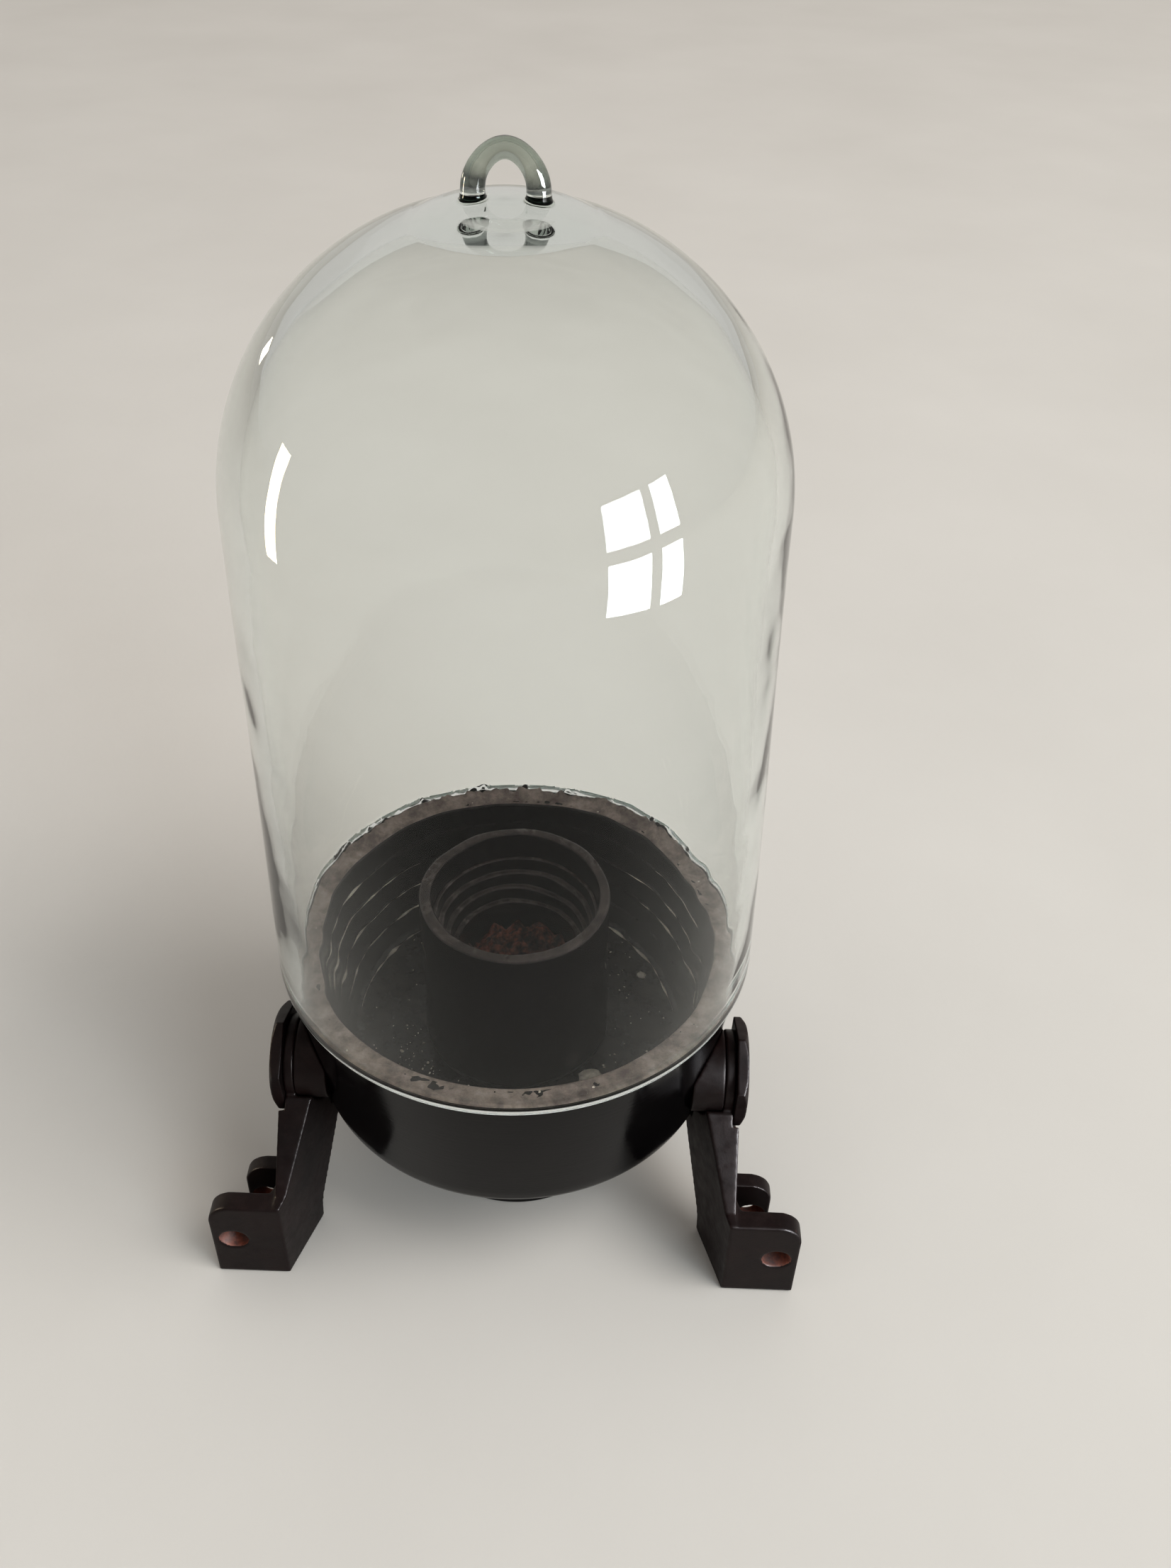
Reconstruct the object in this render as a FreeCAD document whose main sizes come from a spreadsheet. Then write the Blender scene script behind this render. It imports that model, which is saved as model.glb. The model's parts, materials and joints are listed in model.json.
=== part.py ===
import FreeCAD, Part
import math
import os

import Sketcher

# Bell jar dome: a blown glass bell with a pulled loop, standing on a black annular dish.
#
# The dish has a tube through its centre that ends in a pedestal, and two cast brackets
# hang on hex pivot bolts at its sides.  Millimetres.  +Z is up, -Y is the front, and the
# origin is on the dome's axis at the level of the surface that the object stands on.

os.makedirs("parts", exist_ok=True)
doc = FreeCAD.newDocument("BellJarDome")

# ---------------------------------------------------------------- driving dimensions
SIZES = {
    # dish
    "rim_height": 102.0,
    "dish_radius": 75.0,
    "dish_foot_radius": 68.5,
    "dish_foot_height": 46.4,
    "dish_corner": 2.2,
    "ledge_width": 10.5,
    "trough_floor_radius": 57.5,
    "trough_floor_height": 59.0,
    "wall_ring_depth": 0.8,
    "floor_hole_radius": 28.8,
    # glass bell
    "bell_base_radius": 77.2,
    "crown_radius": 73.5,
    "bell_top_height": 333.5,
    "glass_wall": 5.0,
    "glass_crown": 6.0,
    # applied glass handle
    "button_radius": 22.5,
    "button_top_radius": 13.0,
    "button_rise": 4.4,
    "loop_radius": 7.75,
    "loop_bar_radius": 2.55,
    "loop_foot_radius": 3.8,
    "loop_centre_height": 337.7,
    # tube, sleeve and pedestal
    "tube_radius": 31.0,
    "tube_mouth_radius": 27.2,
    "tube_lip": 1.0,
    "tube_seat_rise": 5.0,
    "tube_top_height": 119.3,
    "tube_spigot_radius": 28.5,
    "tube_spigot_bore": 24.5,
    "tube_spigot_bottom": 14.0,
    "gasket_thickness": 1.5,
    "sleeve_top_height": 110.0,
    "sleeve_step_height": 4.9,
    "sleeve_step_width": 1.9,
    "sleeve_bore": 20.2,
    "fit_gap": 0.05,
    "lock_ring_radius": 37.0,
    "lock_ring_thickness": 7.0,
    "notch_depth": 3.0,
    "notch_half_width": 3.0,
    "notch_overrun": 2.0,
    "pedestal_radius": 37.5,
    "pedestal_neck_radius": 32.5,
    "pedestal_flange": 6.0,
    "pedestal_shoulder": 3.0,
    "pedestal_opening_top": 13.0,
    "pedestal_gap": 0.5,
    "pedestal_opening": 22.0,
    "residue_bottom": 76.0,
    "residue_thickness": 8.0,
    # pivots at the dish's sides
    "pivot_forward": 28.0,
    "pivot_height": 66.0,
    "pivot_face": 69.9,
    "boss_radius": 13.5,
    "eye_thickness": 3.3,
    "leg_face": 75.2,
    "seat_radius": 18.6,
    "shank_radius": 10.0,
    "hex_across_flats": 30.8,
    "hex_thickness": 3.8,
    "hex_turn": 6.0,
    "head_seat_depth": 5.8,
    "bolt_tip": 60.2,
    "insert_radius": 12.0,
    "insert_inner_end": 59.4,
    # brackets
    "leg_depth": 20.2,
    "heel_back": 1.5,
    "heel_height": 9.0,
    "waist_back": 2.0,
    "waist_drop": 33.0,
    "cheek_in": 2.0,
    "cheek_drop": 7.0,
    "brow_out": 1.0,
    "brow_drop": 5.0,
    "shin_back": 5.0,
    "shin_rise": 1.0,
    "cut_overrun": 10.0,
    "skew_end": 2.0,
    "bore_overrun": 2.0,
    "foot_front": 68.0,
    "foot_inner": 73.2,
    "foot_height": 36.0,
    "web_slope": 0.335,
    "web_thickness": 6.3,
    "front_lug_length": 23.9,
    "front_lug_thickness": 6.8,
    "rear_lug_length": 21.3,
    "rear_lug_height": 33.8,
    "rear_lug_thickness": 5.4,
    "foot_depth": 23.0,
    "lug_corner": 8.0,
    "lug_bore_radius": 4.25,
    "lug_bore_height": 18.6,
    "lug_bore_reach": 16.8,
    "lug_bore_slope": 0.43,
    "swing_gap": 0.5,
    "face_gap": 0.1,
}

sheet = doc.addObject("Spreadsheet::Sheet", "Sizes")
for row, (alias, value) in enumerate(SIZES.items(), start=1):
    sheet.set("A%d" % row, alias)
    sheet.set("B%d" % row, str(value))
    sheet.setAlias("B%d" % row, alias)
doc.recompute()

PARTS = []


def full(text):
    """An expression in sheet aliases, with the sheet's name put before each alias."""
    words = []
    for word in text.split():
        words.append("Sizes." + word if word in SIZES else word)
    return " ".join(words)


def number(text):
    return float(sheet.evalExpression(full(text)))


def bind(feature, **sizes):
    for name, text in sizes.items():
        feature.setExpression(name, full(text))


def keep(feature, label):
    feature.Label = label
    PARTS.append(feature)
    return feature


# ---------------------------------------------------------------- helpers
def vector(x, y, z=0.0):
    return FreeCAD.Vector(x, y, z)


def new_body(name):
    return doc.addObject("PartDesign::Body", name)


def sketch_on(body, role, name, height="0"):
    """An empty sketch on one of the body's own origin planes, raised along its normal."""
    plane = [item for item in body.Origin.OriginFeatures if item.Role == role][0]
    sketch = body.newObject("Sketcher::SketchObject", name)
    sketch.AttachmentSupport = [(plane, "")]
    sketch.MapMode = "FlatFace"
    if height != "0":
        bind(sketch, **{"AttachmentOffset.Base.z": height})
    return sketch


def fix(sketch, edge, end, x, y):
    """Holds one end of a sketch edge at a place given by two expressions."""
    for kind, text in (("DistanceX", x), ("DistanceY", y)):
        index = sketch.addConstraint(
            Sketcher.Constraint(kind, -1, 1, edge, end, number(text))
        )
        if number(text) != 0.0:
            sketch.setExpression("Constraints[%d]" % index, full(text))


def outline(body, role, name, points, height="0"):
    """A closed outline of straight edges through points given as pairs of expressions."""
    sketch = sketch_on(body, role, name, height)
    places = [vector(number(x), number(y)) for x, y in points]
    count = len(points)
    for i in range(count):
        sketch.addGeometry(Part.LineSegment(places[i], places[(i + 1) % count]))
    for i in range(count):
        sketch.addConstraint(Sketcher.Constraint("Coincident", i, 2, (i + 1) % count, 1))
        fix(sketch, i, 1, *points[i])
    return sketch


def circle(body, role, name, x, y, radius, height="0"):
    sketch = sketch_on(body, role, name, height)
    edge = sketch.addGeometry(
        Part.Circle(vector(number(x), number(y)), vector(0, 0, 1), number(radius))
    )
    fix(sketch, edge, 3, x, y)
    index = sketch.addConstraint(Sketcher.Constraint("Radius", edge, number(radius)))
    sketch.setExpression("Constraints[%d]" % index, full(radius))
    return sketch


def feature(body, kind, name, profile, **sizes):
    made = body.newObject("PartDesign::" + kind, name)
    made.Profile = profile
    bind(made, **sizes)
    return made


def turned(name, points):
    """A body turned about the vertical axis from an outline of (radius, height) points."""
    body = new_body(name)
    profile = outline(body, "XZ_Plane", name + "_profile", points)
    turn = body.newObject("PartDesign::Revolution", name + "_turn")
    turn.Profile = profile
    turn.ReferenceAxis = (profile, ["V_Axis"])
    turn.Angle = 360.0
    doc.recompute()
    return body


def rounded(body, name, radius, edges):
    """Rounds the edges of the body's last feature that the test picks out."""
    base = body.Tip
    names = [
        "Edge%d" % (i + 1) for i, edge in enumerate(base.Shape.Edges) if edges(edge)
    ]
    made = body.newObject("PartDesign::Fillet", name)
    made.Base = (base, names)
    bind(made, Radius=radius)
    doc.recompute()
    return made


def ring_edge(radius, height):
    """Tests for the whole circular edge about the vertical axis with this radius and height."""

    def test(edge):
        curve = edge.Curve
        if not isinstance(curve, Part.Circle):
            return False
        return (
            abs(curve.Radius - number(radius)) < 0.01
            and abs(curve.Center.z - number(height)) < 0.01
        )

    return test


def crosswise_edge(x, z):
    """Tests for the straight edge that runs front to back at this x and height."""

    def test(edge):
        return all(
            abs(corner.X - number(x)) < 0.01 and abs(corner.Z - number(z)) < 0.01
            for corner in edge.Vertexes
        )

    return test


def across(kind, name, side, start, **sizes):
    """A primitive whose own axis lies along X, starting at the expression's distance out."""
    made = doc.addObject("Part::" + kind, name)
    bind(made, **sizes)
    made.Placement.Rotation = FreeCAD.Rotation(vector(0, 1, 0), 90 * side)
    sign = "" if side > 0 else "-1 * "
    bind(
        made,
        **{
            "Placement.Base.x": sign + "( " + start + " )",
            "Placement.Base.y": "-1 * pivot_forward",
            "Placement.Base.z": "pivot_height",
        }
    )
    return made


def cut(name, base, tool):
    made = doc.addObject("Part::Cut", name)
    made.Base = base
    made.Tool = tool
    return made


def common(name, base, tool):
    made = doc.addObject("Part::Common", name)
    made.Base = base
    made.Tool = tool
    return made


# ---------------------------------------------------------------- glass bell and handle
def glass_bell():
    """A straight, slightly tapered wall that runs tangent into a round crown."""
    body = new_body("glass_bell")
    sketch = sketch_on(body, "XZ_Plane", "bell_profile")
    skins = (
        ("bell_base_radius", "crown_radius", "bell_top_height"),
        (
            "bell_base_radius - glass_wall",
            "crown_radius - glass_wall",
            "bell_top_height - glass_crown",
        ),
    )
    for base, crown, top in skins:
        radius = number(crown)
        centre = number(top) - radius
        rise = centre - number("rim_height")
        reach = math.hypot(number(base), rise)
        taper = math.atan2(number(base), rise) - math.asin(radius / reach)
        shoulder = vector(radius * math.cos(taper), centre + radius * math.sin(taper))
        wall = sketch.addGeometry(
            Part.LineSegment(vector(number(base), number("rim_height")), shoulder)
        )
        round_top = Part.Circle(vector(0, centre), vector(0, 0, 1), radius)
        arc = sketch.addGeometry(Part.ArcOfCircle(round_top, taper, math.pi / 2))
        fix(sketch, wall, 1, base, "rim_height")
        fix(sketch, arc, 3, "0", top + " - ( " + crown + " )")
        sketch.addConstraint(Sketcher.Constraint("Tangent", wall, 2, arc, 1))
        sketch.addConstraint(Sketcher.Constraint("PointOnObject", arc, 2, -2))
        index = sketch.addConstraint(Sketcher.Constraint("Radius", arc, radius))
        sketch.setExpression("Constraints[%d]" % index, full(crown))
    outer_wall, outer_arc, inner_wall, inner_arc = range(4)
    places = {
        (edge, end): sketch.getPoint(edge, end)
        for edge, end in ((outer_wall, 1), (outer_arc, 2), (inner_wall, 1), (inner_arc, 2))
    }
    for first, second in (
        ((outer_wall, 1), (inner_wall, 1)),
        ((outer_arc, 2), (inner_arc, 2)),
    ):
        line = sketch.addGeometry(Part.LineSegment(places[first], places[second]))
        sketch.addConstraint(Sketcher.Constraint("Coincident", line, 1, *first))
        sketch.addConstraint(Sketcher.Constraint("Coincident", line, 2, *second))
    turn = body.newObject("PartDesign::Revolution", "bell_turn")
    turn.Profile = sketch
    turn.ReferenceAxis = (sketch, ["V_Axis"])
    turn.Angle = 360.0
    doc.recompute()
    return keep(body, "glass_bell")


def glass_handle():
    """A gather of glass stuck on the crown: a low button with a loop drawn up from it."""
    crown_centre = "( bell_top_height - crown_radius )"
    seat = crown_centre + " + sqrt( crown_radius ^ 2 - button_radius ^ 2 )"
    button = doc.addObject("Part::Cone", "button")
    bind(
        button,
        Radius1="button_radius",
        Radius2="button_top_radius",
        Height="button_rise",
        **{"Placement.Base.z": seat}
    )
    arch = doc.addObject("Part::Torus", "loop_arch")
    arch.Angle3 = 180.0
    arch.Placement.Rotation = FreeCAD.Rotation(vector(1, 0, 0), 90)
    bind(
        arch,
        Radius1="loop_radius",
        Radius2="loop_bar_radius",
        **{"Placement.Base.z": "loop_centre_height"}
    )
    pieces = [button, arch]
    for side, sign in (("left", "-1 * "), ("right", "")):
        leg = doc.addObject("Part::Cone", "loop_leg_" + side)
        bind(
            leg,
            Radius1="loop_foot_radius",
            Radius2="loop_bar_radius",
            Height="loop_centre_height - bell_top_height + glass_wall / 2",
            **{
                "Placement.Base.x": sign + "loop_radius",
                "Placement.Base.z": "bell_top_height - glass_wall / 2",
            }
        )
        pieces.append(leg)
    whole = doc.addObject("Part::MultiFuse", "handle_whole")
    whole.Shapes = pieces
    crown = doc.addObject("Part::Sphere", "crown_ball")
    bind(crown, Radius="crown_radius", **{"Placement.Base.z": crown_centre})
    return keep(cut("glass_handle", whole, crown), "glass_handle")


# ---------------------------------------------------------------- dish, tube and pedestal
WALL_RINGS = 5


def dish_points():
    """The dish's section: tapered outside, flat ledge, ringed trough wall, flat floor."""
    points = [
        ("floor_hole_radius", "dish_foot_height"),
        ("dish_foot_radius", "dish_foot_height"),
        ("dish_radius", "rim_height"),
        ("dish_radius - ledge_width", "rim_height"),
    ]
    drop = "( rim_height - trough_floor_height )"
    reach = "( dish_radius - ledge_width - trough_floor_radius )"
    for ring in range(1, WALL_RINGS):
        height = "rim_height - %s * %d / %d" % (drop, ring, WALL_RINGS)
        radius = "dish_radius - ledge_width - %s * %d / %d" % (reach, ring, WALL_RINGS)
        points.append((radius + " + wall_ring_depth", height))
        points.append((radius, height))
    points.append(("trough_floor_radius", "trough_floor_height"))
    points.append(("floor_hole_radius", "trough_floor_height"))
    return points


def dish_skin():
    """The solid cone inside the dish's outer wall, which trims whatever seats on it."""
    skin = doc.addObject("Part::Cone", "dish_skin")
    bind(
        skin,
        Radius1="dish_foot_radius",
        Radius2="dish_radius",
        Height="rim_height - dish_foot_height",
        **{"Placement.Base.z": "dish_foot_height"}
    )
    return skin


def dish():
    body = turned("dish_turned", dish_points())
    corner = ring_edge("dish_foot_radius", "dish_foot_height")
    rounded(body, "dish_corner_round", "dish_corner", corner)
    made = body
    for side, word in ((-1, "left"), (1, "right")):
        hole = across(
            "Cylinder",
            "insert_hole_" + word,
            side,
            "insert_inner_end",
            Radius="insert_radius",
            Height="dish_radius - insert_inner_end",
        )
        made = cut("dish_cut_" + word, made, hole)
    return keep(made, "dish")


def center_tube():
    shoulder = "trough_floor_height + gasket_thickness"
    seat = "trough_floor_height + tube_seat_rise"
    body = turned(
        "center_tube",
        [
            ("tube_spigot_bore", "tube_spigot_bottom"),
            ("tube_spigot_radius", "tube_spigot_bottom"),
            ("tube_spigot_radius", shoulder),
            ("tube_radius", shoulder),
            ("tube_radius", "tube_top_height"),
            ("tube_mouth_radius", "tube_top_height"),
            ("tube_mouth_radius", seat),
            ("tube_spigot_bore", seat),
        ],
    )
    rounded(body, "tube_lip_round", "tube_lip", ring_edge("tube_radius", "tube_top_height"))
    return keep(body, "center_tube")


def stepped_sleeve():
    """A liner down the tube whose bore narrows in even steps."""
    bottom = "trough_floor_height + tube_seat_rise"
    outer = "tube_mouth_radius - fit_gap"
    points = [(outer, bottom), (outer, "sleeve_top_height")]
    for step in range(3):
        radius = "sleeve_bore + sleeve_step_width * %d" % (3 - step)
        points.append((radius, "sleeve_top_height - sleeve_step_height * %d" % step))
        points.append((radius, "sleeve_top_height - sleeve_step_height * %d" % (step + 1)))
    points.append(("sleeve_bore", "sleeve_top_height - sleeve_step_height * 3"))
    points.append(("sleeve_bore", bottom))
    return keep(turned("stepped_sleeve", points), "stepped_sleeve")


def ring(label, inner, outer, low, high):
    corners = [(inner, low), (outer, low), (outer, high), (inner, high)]
    return keep(turned(label, corners), label)


def lock_ring():
    """The ring nut under the dish floor, with four notches for a spanner."""
    body = turned(
        "tube_lock_ring",
        [
            ("tube_spigot_radius + fit_gap", "dish_foot_height - lock_ring_thickness"),
            ("lock_ring_radius", "dish_foot_height - lock_ring_thickness"),
            ("lock_ring_radius", "dish_foot_height"),
            ("tube_spigot_radius + fit_gap", "dish_foot_height"),
        ],
    )
    reach = "lock_ring_radius - notch_depth"
    beyond = "lock_ring_radius + notch_overrun"
    notch = outline(
        body,
        "XY_Plane",
        "notch_outline",
        [
            (reach, "-1 * notch_half_width"),
            (beyond, "-1 * notch_half_width"),
            (beyond, "notch_half_width"),
            (reach, "notch_half_width"),
        ],
        "dish_foot_height - lock_ring_thickness",
    )
    pocket = feature(body, "Pocket", "notch", notch, Length="lock_ring_thickness")
    pocket.Reversed = True
    notches = body.newObject("PartDesign::PolarPattern", "notches")
    notches.Originals = [pocket]
    notches.Axis = (notch, ["N_Axis"])
    notches.Angle = 360.0
    notches.Occurrences = 4
    body.Tip = notches
    return keep(body, "tube_lock_ring")


def pedestal():
    """The turned foot that the tube's lower end screws into."""
    top = "dish_foot_height - lock_ring_thickness - pedestal_gap"
    return keep(
        turned(
            "pedestal",
            [
                ("pedestal_opening", "0"),
                ("pedestal_radius", "0"),
                ("pedestal_radius", "pedestal_flange"),
                ("pedestal_neck_radius", "pedestal_flange + pedestal_shoulder"),
                ("pedestal_neck_radius", top),
                ("tube_spigot_radius + fit_gap", top),
                ("tube_spigot_radius + fit_gap", "pedestal_opening_top"),
                ("pedestal_opening", "pedestal_opening_top"),
            ],
        ),
        "pedestal",
    )


def bore_residue():
    """The crumbly remains of a plug, stuck in the sleeve's bore."""
    made = doc.addObject("Part::Cylinder", "bore_residue")
    bind(
        made,
        Radius="sleeve_bore - fit_gap",
        Height="residue_thickness",
        **{"Placement.Base.z": "residue_bottom"}
    )
    return keep(made, "bore_residue")


# ---------------------------------------------------------------- pivots
def pivot_pieces(side, word, skin):
    """The threaded insert, the boss and the hex pivot bolt of one side."""
    hole = "shank_radius + fit_gap"
    insert = across(
        "Cylinder",
        "insert_bar_" + word,
        side,
        "insert_inner_end",
        Radius="insert_radius",
        Height="dish_radius - insert_inner_end",
    )
    bore = across(
        "Cylinder",
        "insert_bore_" + word,
        side,
        "insert_inner_end",
        Radius=hole,
        Height="pivot_face - insert_inner_end",
    )
    flush = common("insert_flush_" + word, insert, skin)
    keep(cut("insert_" + word, flush, bore), "threaded_insert_" + word)

    bar = across(
        "Cylinder",
        "boss_bar_" + word,
        side,
        "insert_inner_end",
        Radius="boss_radius",
        Height="pivot_face - face_gap - insert_inner_end",
    )
    seated = cut("boss_seated_" + word, bar, skin)
    keep(cut("boss_" + word, seated, bore), "mounting_boss_" + word)

    head_start = "pivot_face + eye_thickness + face_gap"
    head = across(
        "Prism",
        "hex_" + word,
        side,
        head_start,
        Circumradius="hex_across_flats / sqrt( 3 )",
        Height="hex_thickness",
    )
    head.Polygon = 6
    turn = FreeCAD.Rotation(vector(0, 0, 1), number("hex_turn") * side)
    head.Placement.Rotation = head.Placement.Rotation.multiply(turn)
    bevel = across(
        "Cone",
        "bevel_" + word,
        side,
        head_start,
        Radius1="hex_across_flats / 2 + hex_thickness * sqrt( 3 )",
        Radius2="hex_across_flats / 2",
        Height="hex_thickness",
    )
    shank = across(
        "Cylinder",
        "shank_" + word,
        side,
        "bolt_tip",
        Radius="shank_radius",
        Height=head_start + " + hex_thickness / 2 - bolt_tip",
    )
    bolt = doc.addObject("Part::Fuse", "hex_bolt_" + word)
    bolt.Base = common("bevelled_" + word, head, bevel)
    bolt.Tool = shank
    keep(bolt, "hex_pivot_bolt_" + word)


# ---------------------------------------------------------------- brackets
def bracket_left():
    """One casting: an eye on the pivot, a leg that leans forwards, and a foot with two lugs."""
    body = new_body("bracket_casting")
    front = "-1 * foot_front"
    back = "-1 * foot_front + foot_depth"
    eye = "-1 * pivot_forward"
    leg_outline = outline(
        body,
        "YZ_Plane",
        "leg_outline",
        [
            (front, "0"),
            (back, "0"),
            (back + " + heel_back", "heel_height"),
            (eye + " - waist_back", "pivot_height - waist_drop"),
            (eye + " + boss_radius - cheek_in", "pivot_height - cheek_drop"),
            (eye, "pivot_height"),
            (eye + " - boss_radius - brow_out", "pivot_height - brow_drop"),
            (front + " + shin_back", "foot_height + shin_rise"),
            (front, "foot_height"),
        ],
        "-1 * leg_face",
    )
    feature(body, "Pad", "leg", leg_outline, Length="leg_depth")
    eye_disc = circle(
        body,
        "YZ_Plane",
        "eye_outline",
        eye,
        "pivot_height",
        "boss_radius",
        "-1 * ( pivot_face + eye_thickness )",
    )
    feature(body, "Pad", "eye", eye_disc, Length="eye_thickness")

    inner = "-1 * foot_inner"
    web = outline(
        body,
        "XY_Plane",
        "foot_web_outline",
        [
            (inner, front),
            (inner + " - web_thickness", front),
            (inner + " - web_thickness + foot_depth * web_slope", back),
            (inner + " + foot_depth * web_slope", back),
        ],
    )
    feature(body, "Pad", "foot_web", web, Length="foot_height")

    lugs = (
        ("front_lug", "0", "front_lug_length", "front_lug_thickness", "foot_height"),
        (
            "rear_lug",
            "foot_depth - rear_lug_thickness",
            "rear_lug_length",
            "rear_lug_thickness",
            "rear_lug_height",
        ),
    )
    for name, setback, length, thickness, height in lugs:
        root = inner + " + ( " + setback + " ) * web_slope"
        tip = root + " - " + length
        joint = root + " - web_thickness / 2"
        corners = [(joint, "0"), (tip, "0"), (tip, height), (joint, height)]
        forward = "foot_front - ( " + setback + " )"
        lug_outline = outline(body, "XZ_Plane", name + "_outline", corners, forward)
        lug = feature(body, "Pad", name, lug_outline, Length=thickness)
        lug.Reversed = True
        doc.recompute()
        rounded(body, name + "_corner", "lug_corner", crosswise_edge(tip, height))

    skew = outline(
        body,
        "XY_Plane",
        "skew_outline",
        [
            (inner + " - cut_overrun * web_slope", front + " - cut_overrun"),
            (inner + " + ( foot_front + skew_end ) * web_slope", "skew_end"),
            ("0", "skew_end"),
            ("0", front + " - cut_overrun"),
        ],
    )
    inner_side = feature(body, "Pocket", "inner_side", skew, Length="rim_height")
    inner_side.Reversed = True
    boss_room = circle(
        body,
        "YZ_Plane",
        "boss_room_outline",
        eye,
        "pivot_height",
        "boss_radius + swing_gap",
        "-1 * pivot_face",
    )
    room = feature(body, "Pocket", "boss_room", boss_room, Length="pivot_face")
    room.Reversed = True
    dish_room = outline(
        body,
        "XZ_Plane",
        "dish_room_outline",
        [
            ("0", "dish_foot_height - swing_gap"),
            ("dish_foot_radius + swing_gap", "dish_foot_height - swing_gap"),
            ("dish_radius + swing_gap", "rim_height"),
            ("0", "rim_height"),
        ],
    )
    groove = body.newObject("PartDesign::Groove", "dish_room")
    groove.Profile = dish_room
    groove.ReferenceAxis = (dish_room, ["V_Axis"])
    groove.Angle = 360.0
    seat_round = circle(
        body,
        "YZ_Plane",
        "head_seat_outline",
        eye,
        "pivot_height",
        "seat_radius",
        "-1 * ( pivot_face + eye_thickness )",
    )
    feature(body, "Pocket", "head_seat", seat_round, Length="head_seat_depth")
    eye_hole = circle(
        body,
        "YZ_Plane",
        "eye_hole_outline",
        eye,
        "pivot_height",
        "shank_radius + fit_gap",
        "-1 * ( pivot_face + eye_thickness )",
    )
    hole = feature(body, "Pocket", "eye_hole", eye_hole, Length="eye_thickness")
    hole.Reversed = True
    doc.recompute()

    bore = doc.addObject("Part::Cylinder", "lug_bore")
    slope = math.degrees(math.atan(number("lug_bore_slope")))
    skewed = FreeCAD.Rotation(vector(0, 0, 1), -slope)
    bore.Placement.Rotation = skewed.multiply(FreeCAD.Rotation(vector(1, 0, 0), -90))
    bind(
        bore,
        Radius="lug_bore_radius",
        Height="( cut_overrun + foot_depth + bore_overrun ) * sqrt( 1 + lug_bore_slope ^ 2 )",
        **{
            "Placement.Base.x": "-1 * ( foot_inner + lug_bore_reach + cut_overrun * lug_bore_slope )",
            "Placement.Base.y": "-1 * foot_front - cut_overrun",
            "Placement.Base.z": "lug_bore_height",
        }
    )
    return keep(cut("bracket_bored", body, bore), "bracket_left")


def bracket_right(left):
    made = doc.addObject("Part::Mirroring", "bracket_mirrored")
    made.Source = left
    made.Normal = vector(1, 0, 0)
    return keep(made, "bracket_right")


# ---------------------------------------------------------------- the whole object
glass_bell()
glass_handle()
dish()
center_tube()
ring(
    "tube_gasket",
    "tube_spigot_radius + fit_gap",
    "tube_radius",
    "trough_floor_height",
    "trough_floor_height + gasket_thickness",
)
stepped_sleeve()
lock_ring()
pedestal()
bore_residue()
wall_cone = dish_skin()
for pivot_side, pivot_word in ((-1, "left"), (1, "right")):
    pivot_pieces(pivot_side, pivot_word, wall_cone)
bracket_right(bracket_left())
doc.recompute()

for item in doc.Objects:
    if "Invalid" in item.State or "Error" in item.State:
        raise RuntimeError("%s is %s" % (item.Label, item.State))
for item in PARTS:
    if item.Shape.isNull() or not item.Shape.isValid():
        raise RuntimeError(item.Label + " has no valid shape")
for item in PARTS:
    item.Shape.exportStep("parts/%s.step" % item.Label)
    print("%-24s %8.1f mm3, solids %d" % (item.Label, item.Shape.Volume, len(item.Shape.Solids)))
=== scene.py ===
import json
import math
import random

import bmesh
import bpy
from mathutils import Matrix, Vector, noise


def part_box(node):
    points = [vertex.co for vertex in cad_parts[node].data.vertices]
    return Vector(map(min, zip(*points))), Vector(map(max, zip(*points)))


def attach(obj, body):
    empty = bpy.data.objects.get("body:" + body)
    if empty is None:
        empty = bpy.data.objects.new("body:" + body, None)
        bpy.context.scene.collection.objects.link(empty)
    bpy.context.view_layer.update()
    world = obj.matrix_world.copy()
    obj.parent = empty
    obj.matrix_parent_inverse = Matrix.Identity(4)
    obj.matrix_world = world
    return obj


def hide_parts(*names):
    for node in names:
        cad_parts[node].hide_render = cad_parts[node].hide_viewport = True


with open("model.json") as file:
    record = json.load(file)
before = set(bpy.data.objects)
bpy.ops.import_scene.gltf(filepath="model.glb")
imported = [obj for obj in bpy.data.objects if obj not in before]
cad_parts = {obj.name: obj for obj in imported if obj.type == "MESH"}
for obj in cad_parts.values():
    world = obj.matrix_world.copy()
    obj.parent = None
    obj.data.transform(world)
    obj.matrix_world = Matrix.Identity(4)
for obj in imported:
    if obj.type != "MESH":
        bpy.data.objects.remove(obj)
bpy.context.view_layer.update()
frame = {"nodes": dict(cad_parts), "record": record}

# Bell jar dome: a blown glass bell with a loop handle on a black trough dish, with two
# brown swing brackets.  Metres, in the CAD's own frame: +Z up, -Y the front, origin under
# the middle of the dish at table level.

MM = 0.001
rng = random.Random(7)
GLASS_IOR = 1.46


# ---------------------------------------------------------------- node helpers
def new_material(name):
    """A material, its node tree and its Principled shader."""
    material = bpy.data.materials.new(name)
    material.use_nodes = True
    tree = material.node_tree
    return material, tree, tree.nodes["Principled BSDF"]


def add(tree, kind, inputs=None, **settings):
    """A shader node whose inputs are given as values or as sockets to link from."""
    node = tree.nodes.new("ShaderNode" + kind)
    for name, value in settings.items():
        setattr(node, name, value)
    for name, value in (inputs or {}).items():
        if isinstance(value, bpy.types.NodeSocket):
            tree.links.new(value, node.inputs[name])
        else:
            node.inputs[name].default_value = value
    return node


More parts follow.
